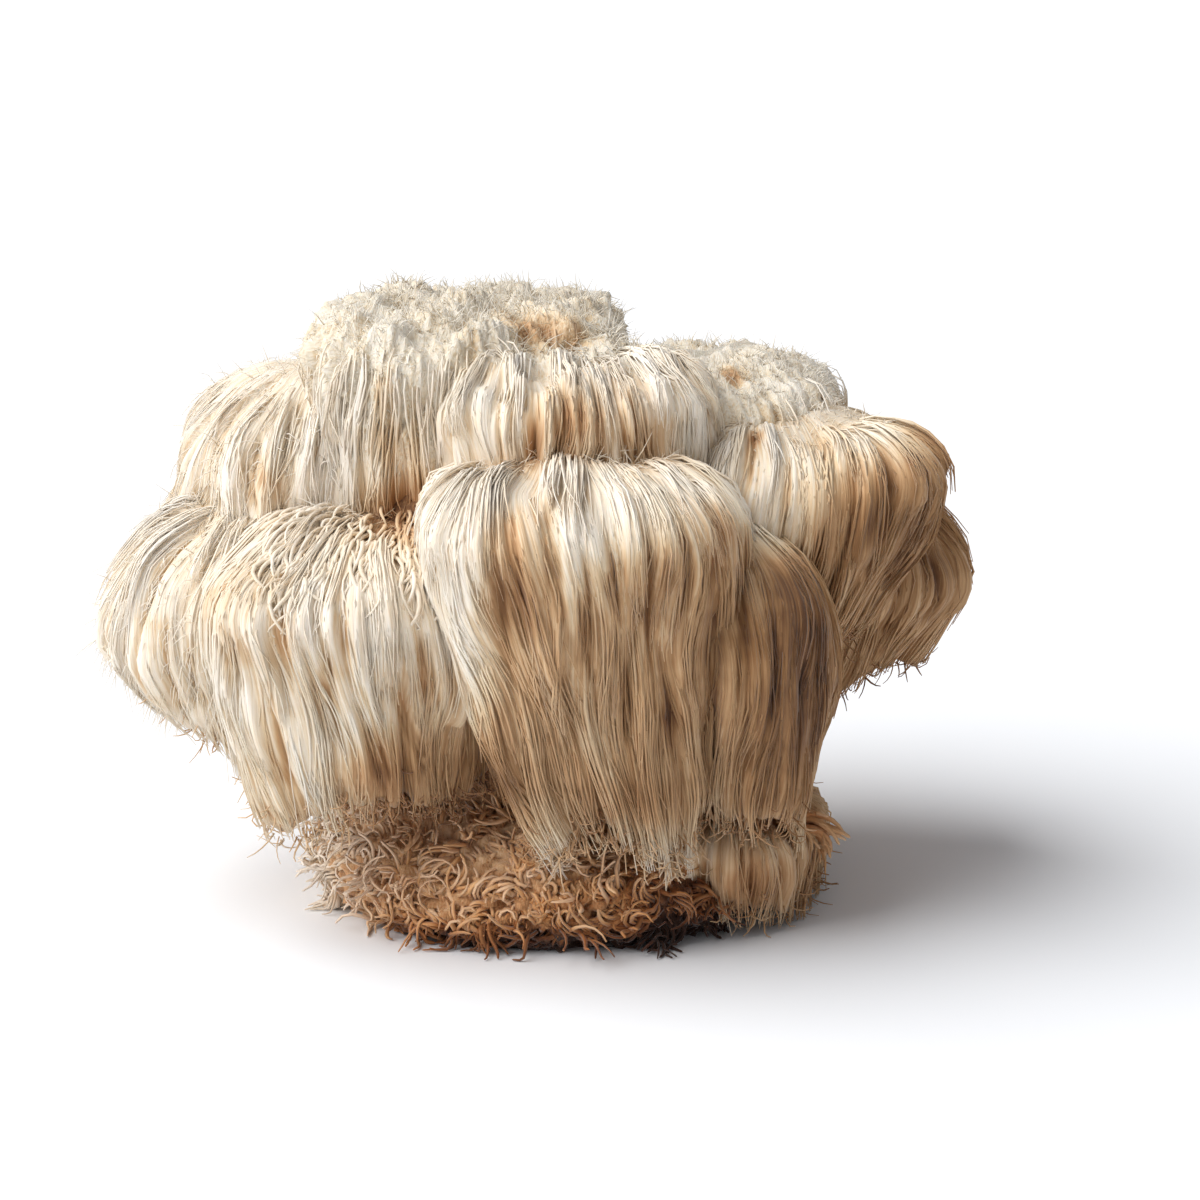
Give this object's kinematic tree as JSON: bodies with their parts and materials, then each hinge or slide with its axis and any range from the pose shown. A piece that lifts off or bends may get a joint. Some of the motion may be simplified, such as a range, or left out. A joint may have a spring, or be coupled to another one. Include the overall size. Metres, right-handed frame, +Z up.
{
  "type": "lions mane mushroom",
  "caption": "Lion's mane mushroom, a cream fruiting body of drooping lobes covered in hanging spines, standing on its flat cut stub.",
  "frame": {"origin": "on the surface it stands on, under the middle of the mushroom's outline seen from above", "axes": "+Z up, +X to the right of the pictured side, which faces -Y"},
  "size_m": [0.1838, 0.133, 0.1255],
  "materials": {
    "mushroom_flesh": null
  },
  "bodies": {
    "root": {"fruiting_body": "mushroom_flesh"}
  },
  "joints": []
}
